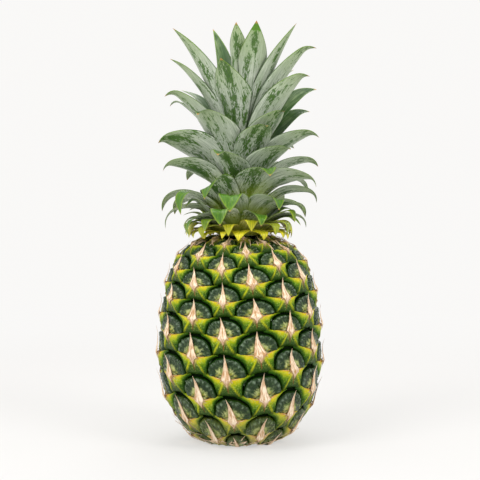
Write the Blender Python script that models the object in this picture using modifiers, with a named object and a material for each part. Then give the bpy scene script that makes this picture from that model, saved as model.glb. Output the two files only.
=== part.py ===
"""A whole pineapple standing on the small flat spot at its base.

The fruit is one solid, swollen into the hexagonal field of its eyes. Above it stand the
short tapering stem of the crown, the collar of small leaves round its foot, and the
crown's leaves, each a thin solid of its own.

Metres, +Z up. The origin is the middle of the flat spot, and -Y is the front. A bearing
is an angle about Z, from the front towards +X.
"""
import math

import bmesh
import bpy
from mathutils import Vector
from mathutils.geometry import interpolate_bezier

MM = 0.001
OBJECT_NAME = "pineapple"
GAP = 0.3 * MM                        # between pieces that touch in the real thing

# The fruit's outline, as (radius, height): foot, widest girth, shoulder and crown seat.
FOOT = (25 * MM, 0.0)
GIRTH = (60.3 * MM, 65 * MM)
SHOULDER = (51 * MM, 131 * MM)
CROWN_SEAT = (17 * MM, 156.5 * MM)
FRUIT_SIDES = 75                      # five to each of the steep columns of eyes
FRUIT_RINGS = 11                      # in each of the outline's three stretches

# The eyes climb the fruit in one spiral. Neighbours lie 7, 8 and 15 turns of it apart.
EYE_COLUMNS = 15
EYE_TURN = math.radians(47.833)       # from one eye to the next along the spiral
FIRST_EYE = math.radians(141.0)
FOOT_PITCH = 40 * MM                  # up one steep column, at the foot
PITCH_LOSS = 0.12                     # of that pitch, for each metre climbed
FIRST_EYE_CLIMB = 5.3                 # up the side to the first eye's middle, counted in eyes
EYE_SWELL = 1.5 * MM

# The crown's stem, as (radius, height) from its foot up to its tip.
STEM_SIDES = 24
STEM_OUTLINE = [(16.4 * MM, 156.8 * MM), (15.5 * MM, 162 * MM), (11.5 * MM, 185 * MM),
                (7 * MM, 210 * MM), (1 * MM, 238 * MM)]

# The collar of short leaves, drooping over the fruit's shoulder.
COLLAR_LOBES = 13
COLLAR_SIDES = 78
COLLAR_THICKNESS = 1.2 * MM
COLLAR_OUTLINE = [(17.6 * MM, 158.6 * MM), (24 * MM, 163 * MM), (32 * MM, 163.2 * MM),
                  (38 * MM, 160 * MM)]
COLLAR_TIP = (45 * MM, 154.5 * MM)
COLLAR_NOTCH = 12 * MM                # how far the rim draws in between the lobes
COLLAR_DROOP = 4 * MM                 # and how far the lobes hang below the notches

# The leaves bend outwards in arcs. The ones that set out lower bend sooner.
LEAF_THICKNESS = 0.7 * MM
LEAF_ROWS = 7
LEAF_COLUMNS = 4
LEAF_WIDEST = 0.38                    # of the way from foot to tip
LOWEST_FOOT = 160 * MM
HIGHEST_FOOT = 236 * MM
LOWEST_RISE = math.radians(50)        # heading of a leaf's foot above the horizontal
HIGHEST_RISE = math.radians(89)
MOST_BENT = 46.0                      # radians for each metre of the lowest leaves
STRAIGHTEST = 0.6
STIFFENING = 1.6                      # how soon the leaves stand up, from the lowest on
WIDEST_CLASP = math.radians(42)       # most that half a leaf's foot wraps the stem

# Every leaf as its tip's bearing in degrees, reach and height in mm, and its width in mm.
UPPER_LEAVES = [
    (-14, 12, 316, 24), (25, 30, 316, 27), (-150, 40, 313, 24), (-79, 51, 312, 24),
    (66, 45, 315, 23), (-20, 40, 288, 33), (-98, 54, 290, 22), (82, 58, 297, 22),
    (180, 22, 308, 26), (142, 41, 296, 26), (66, 58, 275, 24), (-174, 48, 270, 27),
    (128, 53, 283, 25), (-126, 56, 267, 23), (103, 61, 267, 23),
]
MIDDLE_LEAVES = [
    (-35, 48, 244, 32), (45, 45, 251, 26), (25, 47, 238, 27), (-88, 57, 261, 22),
    (-106, 57, 254, 20), (112, 57, 250, 20), (158, 52, 255, 28), (-148, 54, 246, 27),
    (-72, 64, 227, 28), (48, 50, 222, 26), (75, 61, 230, 23), (-19, 49, 216, 28),
    (178, 56, 232, 28), (134, 56, 222, 24), (-122, 60, 219, 24), (-164, 57, 212, 27),
    (96, 60, 208, 21), (153, 59, 204, 26),
]
LOWER_LEAVES = [
    (28, 53, 201, 27), (65, 63, 193, 25), (-70, 61, 205, 24), (-31, 51, 186, 26),
    (-138, 60, 197, 24), (118, 60, 188, 22), (176, 58, 193, 25), (84, 58, 181, 20),
    (-12, 49, 175, 25), (38, 51, 178, 23), (-64, 53, 176, 22), (-96, 60, 174, 19),
    (-160, 57, 181, 23), (144, 56, 177, 22), (64, 53, 173, 20), (-118, 56, 171, 20),
    (110, 54, 169, 20), (-24, 49, 168, 22), (20, 51, 162, 22), (-76, 58, 162, 19),
    (-50, 51, 161, 20), (86, 50, 162, 18), (-172, 54, 167, 22), (158, 53, 161, 20),
]

RIND_GREEN = (0.075, 0.115, 0.035)
STEM_GREEN = (0.42, 0.47, 0.12)
COLLAR_GREEN = (0.38, 0.47, 0.06)
LEAF_GREEN = (0.27, 0.36, 0.22)


def clear_scene():
    """Remove everything that a new Blender file starts with."""
    for thing in list(bpy.data.objects):
        bpy.data.objects.remove(thing, do_unlink=True)


def new_collection(name):
    collection = bpy.data.collections.new(name)
    bpy.context.scene.collection.children.link(collection)
    return collection


def new_material(name, colour, roughness):
    material = bpy.data.materials.new(name)
    material.use_nodes = True
    shader = material.node_tree.nodes["Principled BSDF"]
    shader.inputs["Base Color"].default_value = (*colour, 1.0)
    shader.inputs["Roughness"].default_value = roughness
    shader.inputs["Metallic"].default_value = 0.0
    material.diffuse_color = (*colour, 1.0)
    return material


def new_object(name, mesh, material, parent):
    thing = bpy.data.objects.new(name, mesh)
    mesh.materials.clear()
    mesh.materials.append(material)
    COLLECTION.objects.link(thing)
    thing.parent = parent
    return thing


def empty(name, location):
    thing = bpy.data.objects.new(name, None)
    thing.location = location
    COLLECTION.objects.link(thing)
    return thing


def turned_mesh(name, outline, sides):
    """The solid or shell that an outline of (radius, height), top first, turns into."""
    profile = bmesh.new()
    corners = [profile.verts.new((radius, 0, height)) for radius, height in outline]
    for upper, lower in zip(corners, corners[1:]):
        profile.edges.new((upper, lower))
    mesh = bpy.data.meshes.new(name + "_outline")
    profile.to_mesh(mesh)
    profile.free()
    guide = bpy.data.objects.new(name + "_outline", mesh)
    COLLECTION.objects.link(guide)
    screw = guide.modifiers.new("turn", "SCREW")
    screw.steps = sides
    screw.render_steps = sides
    screw.use_merge_vertices = True
    screw.merge_threshold = 0.00001
    turned = bpy.data.meshes.new_from_object(guide.evaluated_get(bpy.context.evaluated_depsgraph_get()))
    bpy.data.objects.remove(guide, do_unlink=True)
    turned.name = name
    turned.shade_smooth()
    return turned


def bezier(start, start_handle, end_handle, end, count):
    """Points of (radius, height) from start to end, both included."""
    knots = [Vector((*point, 0.0)) for point in (start, start_handle, end_handle, end)]
    return [(point.x, point.y) for point in interpolate_bezier(*knots, count)]


def fruit_side():
    """The fruit's side from the foot up to the crown's seat, as (radius, height)."""
    belly = bezier(FOOT, (43 * MM, 5 * MM), (GIRTH[0], 33 * MM), GIRTH, FRUIT_RINGS)
    chest = bezier(GIRTH, (GIRTH[0], 95 * MM), (56 * MM, 118 * MM), SHOULDER, FRUIT_RINGS)
    neck = bezier(SHOULDER, (46 * MM, 144 * MM), (36 * MM, 152 * MM), CROWN_SEAT, FRUIT_RINGS)
    return belly + chest[1:] + neck[1:]


def climbs(side):
    """The length along the side from the foot to each of its points."""
    lengths = [0.0]
    for below, above in zip(side, side[1:]):
        lengths.append(lengths[-1] + math.dist(below, above))
    return lengths


def eyes_below(climb):
    """How many eyes of the spiral lie below a climb. They are taller near the foot."""
    return -EYE_COLUMNS / PITCH_LOSS * math.log(1 - PITCH_LOSS * climb / FOOT_PITCH)


def eye_field(bearing, number):
    """1 on the middle of each eye, and down to -0.5 where three of them meet."""
    turns = (bearing - FIRST_EYE) / math.tau
    total = 0.0
    for family in (7, 8, EYE_COLUMNS):
        drift = family * EYE_TURN / math.tau
        total += math.cos(math.tau * (family * turns - number * (drift - round(drift))))
    return total / 3


def build_fruit():
    """A turned body whose side is swollen into eyes, flat under the foot and the crown."""
    side = fruit_side()
    lengths = climbs(side)
    top = (0.0, CROWN_SEAT[1])
    foot = (0.0, 0.0)
    mesh = turned_mesh("fruit", [top, *reversed(side), foot], FRUIT_SIDES)
    for vertex in mesh.vertices:
        height = vertex.co.z
        radius = math.hypot(vertex.co.x, vertex.co.y)
        if height < GAP or height > CROWN_SEAT[1] - GAP:
            continue
        bearing = math.atan2(vertex.co.x, -vertex.co.y)
        ring = min(range(len(side)), key=lambda index: abs(side[index][1] - height))
        swell = EYE_SWELL * eye_field(bearing, eyes_below(lengths[ring]) - FIRST_EYE_CLIMB)
        vertex.co.x *= 1 + swell / radius
        vertex.co.y *= 1 + swell / radius
    return new_object("fruit", mesh, new_material("rind", RIND_GREEN, 0.42), None)


def build_stem(crown):
    top = (0.0, STEM_OUTLINE[-1][1])
    foot = (0.0, STEM_OUTLINE[0][1])
    mesh = turned_mesh("crown_stem", [top, *reversed(STEM_OUTLINE), foot], STEM_SIDES)
    mesh.transform(crown.matrix_world.inverted())
    return new_object("crown_stem", mesh, new_material("stem_flesh", STEM_GREEN, 0.6), crown)


def build_collar(crown):
    """A thin ring whose rim is drawn out into pointed, drooping lobes."""
    mesh = turned_mesh("crown_collar", [COLLAR_TIP, *reversed(COLLAR_OUTLINE)], COLLAR_SIDES)
    for vertex in mesh.vertices:
        radius = math.hypot(vertex.co.x, vertex.co.y)
        rim = max(0.0, (radius - COLLAR_OUTLINE[1][0]) / (COLLAR_TIP[0] - COLLAR_OUTLINE[1][0]))
        bearing = math.atan2(vertex.co.x, -vertex.co.y)
        between = abs(math.sin(COLLAR_LOBES * bearing / 2))
        shrunk = radius - rim * between * COLLAR_NOTCH
        vertex.co.x *= shrunk / radius
        vertex.co.y *= shrunk / radius
        vertex.co.z += rim * between * COLLAR_DROOP
    mesh.transform(crown.matrix_world.inverted())
    collar = new_object("crown_collar", mesh, new_material("collar_leaf", COLLAR_GREEN, 0.5), crown)
    solidify = collar.modifiers.new("thickness", "SOLIDIFY")
    solidify.thickness = COLLAR_THICKNESS
    solidify.offset = 0.0
    return collar


def stem_radius(height):
    for (wide, below), (narrow, above) in zip(STEM_OUTLINE, STEM_OUTLINE[1:]):
        if height <= above:
            return wide + (narrow - wide) * (height - below) / (above - below)
    return STEM_OUTLINE[-1][0]


def leaf_family(rank):
    """How the leaf of a rank sets out: its foot, its heading in radians and its bend per metre."""
    foot_height = LOWEST_FOOT + (HIGHEST_FOOT - LOWEST_FOOT) * rank
    foot_radius = stem_radius(foot_height) + GAP + LEAF_THICKNESS
    softness = (1 - rank) ** STIFFENING
    rise = HIGHEST_RISE + (LOWEST_RISE - HIGHEST_RISE) * softness
    bend = STRAIGHTEST + (MOST_BENT - STRAIGHTEST) * softness
    return foot_radius, foot_height, rise, bend


def turned_at(rank, reach):
    """How far the leaf of a rank has bent over where it gets to a reach, or None if it never does."""
    foot_radius, _, rise, bend = leaf_family(rank)
    sine = math.sin(rise) - bend * (reach - foot_radius)
    return None if sine < -1 else rise - math.asin(sine)


def rank_through(reach, height):
    """The rank whose leaves pass through a place. Higher ranks always pass above lower ones."""
    low, high = 0.0, 1.0
    for _ in range(40):
        rank = (low + high) / 2
        turned = turned_at(rank, reach)
        _, foot_height, rise, bend = leaf_family(rank)
        passes = turned and foot_height + (math.cos(rise - turned) - math.cos(rise)) / bend
        if passes and passes > height:
            high = rank
        else:
            low = rank
    return rank


def leaf_arc(reach, height):
    """The leaf's midrib as a function from 0 at the foot to 1 at the tip, giving (radius, height)."""
    rank = rank_through(reach, height)
    foot_radius, foot_height, rise, bend = leaf_family(rank)
    tip_turn = turned_at(rank, reach)

    def midrib(part):
        heading = rise - tip_turn * part
        outwards = (math.sin(rise) - math.sin(heading)) / bend
        upwards = (math.cos(heading) - math.cos(rise)) / bend
        return foot_radius + outwards, foot_height + upwards

    return midrib


def blade_width(part):
    """Of the leaf's full width: broad from the foot, then drawn in to a point."""
    if part < LEAF_WIDEST:
        return 0.55 + 0.45 * math.sin(math.pi / 2 * part / LEAF_WIDEST)
    return 1 - ((part - LEAF_WIDEST) / (1 - LEAF_WIDEST)) ** 1.9


def build_leaf(name, bearing, reach, height, width, crown, material):
    midrib = leaf_arc(reach, height)
    foot_radius, foot_height = midrib(0.0)
    blade = bmesh.new()
    bmesh.ops.create_grid(blade, x_segments=LEAF_COLUMNS, y_segments=LEAF_ROWS, size=0.5)
    tips = [vertex for vertex in blade.verts if vertex.co.y > 0.49]
    bmesh.ops.pointmerge(blade, verts=tips, merge_co=(0.0, 0.5, 0.0))
    for vertex in blade.verts:
        part = vertex.co.y + 0.5
        across = 2 * vertex.co.x
        radius, level = midrib(part)
        half = min(width * blade_width(part) / 2 / radius, WIDEST_CLASP)
        turn = half * across
        vertex.co = (radius * math.sin(turn), foot_radius - radius * math.cos(turn), level - foot_height)
    bmesh.ops.recalc_face_normals(blade, faces=blade.faces)
    mesh = bpy.data.meshes.new(name)
    blade.to_mesh(mesh)
    blade.free()
    mesh.shade_smooth()
    leaf = new_object(name, mesh, material, crown)
    foot = Vector((foot_radius * math.sin(bearing), -foot_radius * math.cos(bearing), foot_height))
    leaf.location = foot - crown.location
    leaf.rotation_euler = (0.0, 0.0, bearing)
    solidify = leaf.modifiers.new("thickness", "SOLIDIFY")
    solidify.thickness = LEAF_THICKNESS
    solidify.offset = 0.0
    return leaf


def build_crown():
    crown = empty("crown", (0.0, 0.0, CROWN_SEAT[1]))
    bpy.context.view_layer.update()
    build_stem(crown)
    build_collar(crown)
    leaves = UPPER_LEAVES + MIDDLE_LEAVES + LOWER_LEAVES
    for number, (bearing, reach, height, width) in enumerate(leaves, 1):
        name = f"crown_leaf_{number:02d}"
        material = new_material(name, LEAF_GREEN, 0.5)
        build_leaf(name, math.radians(bearing), reach * MM, height * MM, width * MM, crown, material)


clear_scene()
COLLECTION = new_collection(OBJECT_NAME)
build_fruit()
build_crown()
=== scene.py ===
"""The looks of a whole pineapple standing on its base, in a plain bright studio.

Everything is in metres, +Z up, and -Y is the front. A bearing is an angle about Z, from
the front towards +X. A climb is a length up the fruit's side from the edge of its foot.
"""

import math

import bpy
import numpy as np
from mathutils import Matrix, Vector
from mathutils.geometry import interpolate_bezier


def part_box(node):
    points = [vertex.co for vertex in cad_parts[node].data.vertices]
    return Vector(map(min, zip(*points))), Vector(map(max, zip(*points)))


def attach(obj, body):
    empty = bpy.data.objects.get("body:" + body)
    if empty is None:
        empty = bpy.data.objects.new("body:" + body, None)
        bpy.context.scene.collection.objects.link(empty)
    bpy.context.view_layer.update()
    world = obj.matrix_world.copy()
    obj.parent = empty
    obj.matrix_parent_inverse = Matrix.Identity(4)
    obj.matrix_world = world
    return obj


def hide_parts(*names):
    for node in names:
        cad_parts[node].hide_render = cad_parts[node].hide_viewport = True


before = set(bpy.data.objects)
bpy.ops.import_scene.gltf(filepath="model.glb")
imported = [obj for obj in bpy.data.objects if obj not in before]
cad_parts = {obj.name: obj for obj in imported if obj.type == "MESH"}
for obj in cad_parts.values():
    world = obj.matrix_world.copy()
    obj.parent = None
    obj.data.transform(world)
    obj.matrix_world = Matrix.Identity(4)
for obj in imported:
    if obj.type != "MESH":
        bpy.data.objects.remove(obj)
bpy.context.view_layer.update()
MM = 0.001

# ---------------------------------------- the fruit's design

FOOT = (25 * MM, 0.0)
GIRTH = (60.3 * MM, 65 * MM)
SHOULDER = (51 * MM, 131 * MM)
CROWN_SEAT = (17 * MM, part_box("fruit")[1][2])

# The fruit's side as curves, each with its start, two handles and end, as radius and height.
SIDE_CURVES = [(FOOT, (43 * MM, 5 * MM), (GIRTH[0], 33 * MM), GIRTH),
               (GIRTH, (GIRTH[0], 95 * MM), (56 * MM, 118 * MM), SHOULDER),
               (SHOULDER, (46 * MM, 144 * MM), (36 * MM, 152 * MM), CROWN_SEAT)]
CURVE_POINTS = 50

EYE_COLUMNS = 15
COLUMN = math.tau / EYE_COLUMNS
EYE_TURN = math.radians(47.833)
FIRST_EYE = math.radians(141.0)
FOOT_PITCH = 40 * MM
PITCH_LOSS = 0.12
COLUMN_DRIFT = EYE_COLUMNS * EYE_TURN - 2 * math.tau     # up one step of a steep column
SPINE_CLIMB = 2.6                     # the first eye's spine, counted in eyes up the side
FIRST_SHOWN = -5
LAST_SHOWN = 100
LEAST_RELIEF = 0.45                   # the part of its relief that an eye of no width would keep

# How far the eyes stray from their even places, and how quickly that changes from eye to eye.
STRAY_ACROSS = 0.09
STRAY_UP = 0.07
STRAY_ROUND = 2.2
STRAY_EYES = 14

# An eye's shape, in columns across (a) and steps up its column (b) from its spine's foot.
WING = 0.79
PLATE_HALF = 0.600
PLATE_TOP = 0.512
PLATE_MIDDLE = 0.06
SQUARENESS = 2.3                      # of a plate's outline, where 2 would be an ellipse
GROOVE_WIDTH = 0.010
GROOVE_DEPTH = 2.9 * MM
RIGHT_EYE_DROP = 7 / EYE_COLUMNS      # the next column's lower eye, below this one
LEFT_EYE_DROP = 8 / EYE_COLUMNS

FRINGE_FLAKES = 74
SHOULDER_FIBRES = 34

# The random draws: what each eye's own are for, and the seed of each kind of lumps or strips.
EYE_DRAWS = {"plate": 1, "bract": 2, "spine": 3, "fray": 4, "dryness": 5, "corners": 6,
             "scallops": 7, "lean": 9}
EYE_SEED = 1000
PLATE_SEED = 4000
BRACT_SEED = 7000
SPINE_SEED = 9000
FRINGE_SEED = 31
FIBRE_SEED = 57
LEAF_SEED = 21
LEAF_LUMPS_SEED = 500
COLLAR_SEED = 77
COLLAR_LEAF_SEED = 300


def arc_mean(values):
    """The mean of each value and the next."""
    return (values[1:] + values[:-1]) / 2


def all_round(count):
    """Even turns round a full circle, as the columns of a grid."""
    return np.linspace(0, math.tau, count, endpoint=False)[None, :]


def smoothstep(low, high, value):
    part = np.clip((value - low) / (high - low), 0.0, 1.0)
    return part * part * (3 - 2 * part)


def bump_at(value, middle, width):
    """A smooth bump, 1 at the middle and gone a few widths away."""
    return np.exp(-((value - middle) / width) ** 2)


def round_axis(radius, bearing, height):
    """Points about Z, on the grid that the three values make together."""
    across = radius * np.sin(bearing)
    back = -radius * np.cos(bearing)
    return np.stack(np.broadcast_arrays(across, back, height), axis=-1)


def fruit_profile():
    """Climb, radius and height from the middle of the foot, out and up the side to the seat."""
    points = [(0.0, 0.0)]
    for curve in SIDE_CURVES:
        knots = [Vector((*point, 0.0)) for point in curve]
        points += [(point.x, point.y) for point in interpolate_bezier(*knots, CURVE_POINTS)][:-1]
    points.append(CROWN_SEAT)
    radius, height = np.array(points).T
    lengths = np.hypot(np.diff(radius), np.diff(height))
    return np.concatenate([[0.0], np.cumsum(lengths)]) - FOOT[0], radius, height


CLIMBS, RADII, HEIGHTS = fruit_profile()


def climb_at(number):
    """The climb below which a number of the spiral's eyes lie."""
    return (1 - np.exp(-number * PITCH_LOSS / EYE_COLUMNS)) * FOOT_PITCH / PITCH_LOSS


def on_fruit(bearing, climb, lift):
    """Points standing a lift out from the fruit's smooth side."""
    step = 1.5 * MM
    never_zero = 1e-9
    radius = np.interp(climb, CLIMBS, RADII)
    height = np.interp(climb, CLIMBS, HEIGHTS)
    run = np.interp(climb + step, CLIMBS, RADII) - np.interp(climb - step, CLIMBS, RADII)
    rise = np.interp(climb + step, CLIMBS, HEIGHTS) - np.interp(climb - step, CLIMBS, HEIGHTS)
    slope = np.hypot(run, rise) + never_zero
    out = radius + lift * rise / slope
    up = np.maximum(height - lift * run / slope, 0.0)
    return round_axis(out, bearing, up)


class Waves:
    """Smooth wandering values between about -1 and 1, the same each run."""

    PEAK = 1.6                        # about the highest sum, in standard deviations

    def __init__(self, seed, count=10):
        source = np.random.default_rng(seed)
        self.directions = source.normal(size=(count, 3))
        self.phases = source.uniform(0, math.tau, count)

    def __call__(self, x, y, z=0.0):
        total = 0.0
        for (along_x, along_y, along_z), phase in zip(self.directions, self.phases):
            total = total + np.sin(along_x * x + along_y * y + along_z * z + phase)
        return total * math.sqrt(2 / len(self.phases)) / self.PEAK


WAVES_ACROSS = Waves(seed=3)
WAVES_UP = Waves(seed=4)


def in_eye(number, a, b, lift):
    """Points at a and b of an eye's cell. The whole field of eyes strays a little."""
    count = number + SPINE_CLIMB + EYE_COLUMNS * b
    bearing = FIRST_EYE + EYE_TURN * number + COLUMN * a + COLUMN_DRIFT * b
    place = (STRAY_ROUND * np.sin(bearing), STRAY_ROUND * np.cos(bearing), count / STRAY_EYES)
    stray_across = STRAY_ACROSS * WAVES_ACROSS(*place)
    stray_up = STRAY_UP * WAVES_UP(*place)
    return on_fruit(bearing + COLUMN * stray_across, climb_at(count + EYE_COLUMNS * stray_up), lift)


def relief(number):
    """The height of one unit of lift on an eye: a millimetre at the girth, less near the ends."""
    column = float(np.interp(climb_at(number + SPINE_CLIMB), CLIMBS, RADII)) / GIRTH[0]
    return MM * (LEAST_RELIEF + (1 - LEAST_RELIEF) * column)


def eye_source(number, draw):
    """The random draws of one eye for one use."""
    return np.random.default_rng([number + EYE_SEED, EYE_DRAWS[draw]])


def eye_chance(number, draw):
    """A value from 0 to 1 that belongs to one eye."""
    return float(eye_source(number, draw).uniform())


# ---------------------------------------- building meshes


class Sheets:
    """Grids of points gathered into one mesh, each point with its named values."""

    def __init__(self):
        self.points = []
        self.faces = []
        self.values = {}
        self.count = 0

    def add(self, points, closed=False, flip=False, **values):
        rows, columns = points.shape[:2]
        index = np.arange(rows * columns).reshape(rows, columns) + self.count
        if closed:
            index = np.concatenate([index, index[:, :1]], axis=1)
        corners = [index[:-1, :-1], index[:-1, 1:], index[1:, 1:], index[1:, :-1]]
        if flip:
            corners.reverse()
        self.faces.append(np.stack([corner.ravel() for corner in corners], axis=1))
        self.points.append(points.reshape(-1, 3))
        for name, value in values.items():
            spread = np.broadcast_to(value, (rows, columns)).ravel()
            self.values.setdefault(name, []).append(spread)
        self.count += rows * columns

    def mesh(self, name):
        points = np.concatenate(self.points)
        faces = np.concatenate(self.faces)
        mesh = bpy.data.meshes.new(name)
        mesh.vertices.add(len(points))
        mesh.vertices.foreach_set("co", points.ravel())
        mesh.loops.add(faces.size)
        mesh.loops.foreach_set("vertex_index", faces.ravel())
        mesh.polygons.add(len(faces))
        mesh.polygons.foreach_set("loop_start", np.arange(len(faces)) * 4)
        mesh.update(calc_edges=True)
        mesh.validate()
        for key, parts in self.values.items():
            layer = mesh.attributes.new(key, "FLOAT", "POINT")
            layer.data.foreach_set("value", np.concatenate(parts).astype(np.float32))
        mesh.shade_smooth()
        return mesh


def new_piece(name, sheets, material, slot, *nodes):
    """One visible piece on the root body, in place of CAD nodes."""
    mesh = sheets.mesh(name)
    piece = bpy.data.objects.new(name, mesh)
    bpy.context.scene.collection.objects.link(piece)
    mesh.materials.append(material)
    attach(piece, "root")
    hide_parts(*nodes)


# ---------------------------------------- shading


class Signal:
    """An output in a material's node tree, which formulas are written with."""

    def __init__(self, shade, socket):
        self.shade = shade
        self.socket = socket

    def __add__(self, other):
        return self.shade.math("ADD", self, other)

    def __sub__(self, other):
        return self.shade.math("SUBTRACT", self, other)

    def __rsub__(self, other):
        return self.shade.math("SUBTRACT", other, self)

    def __mul__(self, other):
        return self.shade.math("MULTIPLY", self, other)

    def __abs__(self):
        return self.shade.math("ABSOLUTE", self)

    def step(self, low, high, start=0.0, end=1.0):
        """From start at low to end at high, smoothly."""
        node = self.shade.node("MapRange", self, low, high, start, end)
        node.interpolation_type = "SMOOTHSTEP"
        return Signal(self.shade, node.outputs[0])


class Shade:
    """A material whose node tree is written as formulas and nested calls."""

    def __init__(self, name):
        self.material = bpy.data.materials.new(name)
        self.material.use_nodes = True
        self.nodes = self.material.node_tree.nodes
        self.links = self.material.node_tree.links
        self.shader = self.nodes["Principled BSDF"]

    def put(self, socket, value):
        if isinstance(value, Signal):
            self.links.new(value.socket, socket)
        elif isinstance(value, tuple):
            socket.default_value = (*value, 1.0)
        else:
            socket.default_value = value

    def set(self, **values):
        for name, value in values.items():
            self.put(self.shader.inputs[name.replace("_", " ")], value)

    def node(self, kind, *values):
        node = self.nodes.new("ShaderNode" + kind)
        for socket, value in zip(node.inputs, values):
            self.put(socket, value)
        return node

    def value(self, name):
        node = self.node("Attribute")
        node.attribute_name = name
        return Signal(self, node.outputs["Fac"])

    def place(self):
        return Signal(self, self.node("TexCoord").outputs["Object"])

    def math(self, operation, *values):
        node = self.node("Math", *values)
        node.operation = operation
        return Signal(self, node.outputs[0])

    def mix(self, part, first, second):
        node = self.nodes.new("ShaderNodeMix")
        node.data_type = "RGBA"
        for index, value in ((0, part), (6, first), (7, second)):
            self.put(node.inputs[index], value)
        return Signal(self, node.outputs[2])

    def vector(self, *parts):
        return Signal(self, self.node("CombineXYZ", *parts).outputs[0])

    def noise(self, place, scale, detail=3.0, rough=0.55):
        node = self.nodes.new("ShaderNodeTexNoise")
        for name, value in (("Vector", place), ("Scale", scale), ("Detail", detail), ("Roughness", rough)):
            self.put(node.inputs[name], value)
        return Signal(self, node.outputs["Fac"])

    def bump(self, height, distance, strength=1.0):
        node = self.nodes.new("ShaderNodeBump")
        for name, value in (("Height", height), ("Distance", distance), ("Strength", strength)):
            self.put(node.inputs[name], value)
        return Signal(self, node.outputs["Normal"])


# Colours are linear red, green and blue. A pair is two that a pattern mixes.

WAX_DARK = (0.005, 0.022, 0.003), (0.02, 0.05, 0.01)
WAX_GREY = (0.013, 0.036, 0.007), (0.06, 0.1, 0.036)
# A painted highlight: the pale glints on the rim's lumps.
WAX_PAINTED_GLINT = (0.25, 0.345, 0.23)
WAX_HALO = (0.085, 0.15, 0.022), (0.5, 0.53, 0.2)
WAX_LIP = (0.34, 0.31, 0.02)
WAX_CRACK = (0.006, 0.012, 0.003)
WAX_RIM = (0.007, 0.032, 0.002)
# Painted shade: near black at the plate's edge.
WAX_PAINTED_EDGE_SHADE = (0.002, 0.008, 0.001)
WAX_DRIED = (0.06, 0.1, 0.01), (0.22, 0.25, 0.035)


def plate_material():
    """Waxy dark green, lumpy round the rim with real gloss and painted glints on the lumps, paler and
    creased about the spine, and painted near black as shade where its edge dips into the groove.
    """
    shade = Shade("eye_plate")
    a = shade.value("a")
    b = shade.value("b")
    ring = shade.value("ring")
    fresh = 1.0 - shade.value("dry")
    offset = shade.value("chance") * 37.0
    rays = shade.noise(shade.vector(shade.value("turn") * 3.2, ring * 4.0, offset), 1.4, 3.0, 0.6)
    local = shade.vector(a * 10.0, b * 10.0, offset)
    specks = shade.noise(local, 1.0)
    cloud = shade.noise(local, 0.6, 2.0)
    dark = shade.mix(rays.step(0.38, 0.66), *WAX_DARK)
    grey = shade.mix(rays.step(0.42, 0.62), *WAX_GREY)
    middle = ring.step(0.1, 0.34) * ring.step(0.78, 0.56)
    colour = shade.mix(middle * cloud.step(0.32, 0.6), dark, grey)
    # Painted highlights: pale specks on the rim's lumps, in place of reflections of the softboxes, over the
    # real gloss.
    painted_glints = ring.step(0.62, 0.78) * ring.step(0.99, 0.9) * shade.value("lump") * specks.step(0.44, 0.58)
    colour = shade.mix(painted_glints * 0.62, colour, WAX_PAINTED_GLINT)
    halo = ring.step(0.68, 0.06) - abs(b - 0.17) * 0.9 + 0.2 - fresh * 0.2
    halo = (halo + (rays - 0.5) * 0.9).step(0.02, 0.5)
    colour = shade.mix(halo * 0.95, colour, shade.mix(specks.step(0.3, 0.62), *WAX_HALO))
    colour = shade.mix(shade.value("lip") * 0.85, colour, WAX_LIP)
    colour = shade.mix(shade.value("crack"), colour, WAX_CRACK)
    colour = shade.mix(ring.step(0.88, 0.94), colour, WAX_RIM)
    # Painted shade: near black at the plate's very edge, where it dips into the groove.
    colour = shade.mix(ring.step(0.95, 1.0), colour, WAX_PAINTED_EDGE_SHADE)
    dried = fresh.step(0.95, 0.25, 0.0, 0.35) * specks.step(0.25, 0.6)
    colour = shade.mix(dried, colour, shade.mix(specks, *WAX_DRIED))
    shade.set(Base_Color=colour, Roughness=specks * 0.3 + 0.06, Specular_IOR_Level=0.3,
              Normal=shade.bump(rays + specks * 0.9, 0.75 * MM))
    return shade.material


BRACT_GREEN = (0.006, 0.036, 0.001), (0.055, 0.145, 0.003)
BRACT_LIME = (0.08, 0.215, 0.002), (0.27, 0.38, 0.003)
BRACT_YELLOW = (0.7, 0.58, 0.008)
BRACT_WING = (0.028, 0.105, 0.005)
BRACT_PANEL = (0.014, 0.05, 0.003), (0.095, 0.16, 0.02)
BRACT_FROST = (0.48, 0.56, 0.13)
BRACT_RIDGE = (0.58, 0.6, 0.006)
BRACT_FAN = (0.7, 0.46, 0.24)
BRACT_CRACK = (0.28, 0.085, 0.02)
BRACT_RIM = (0.6, 0.29, 0.07)
# Painted shade: darker green low on the bract and near black at its foot.
BRACT_PAINTED_SHADE = (0.01, 0.044, 0.001)
BRACT_PAINTED_EDGE_SHADE = (0.002, 0.009, 0.001)
BRACT_DRIED = (0.34, 0.19, 0.07), (0.62, 0.45, 0.22)


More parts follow.
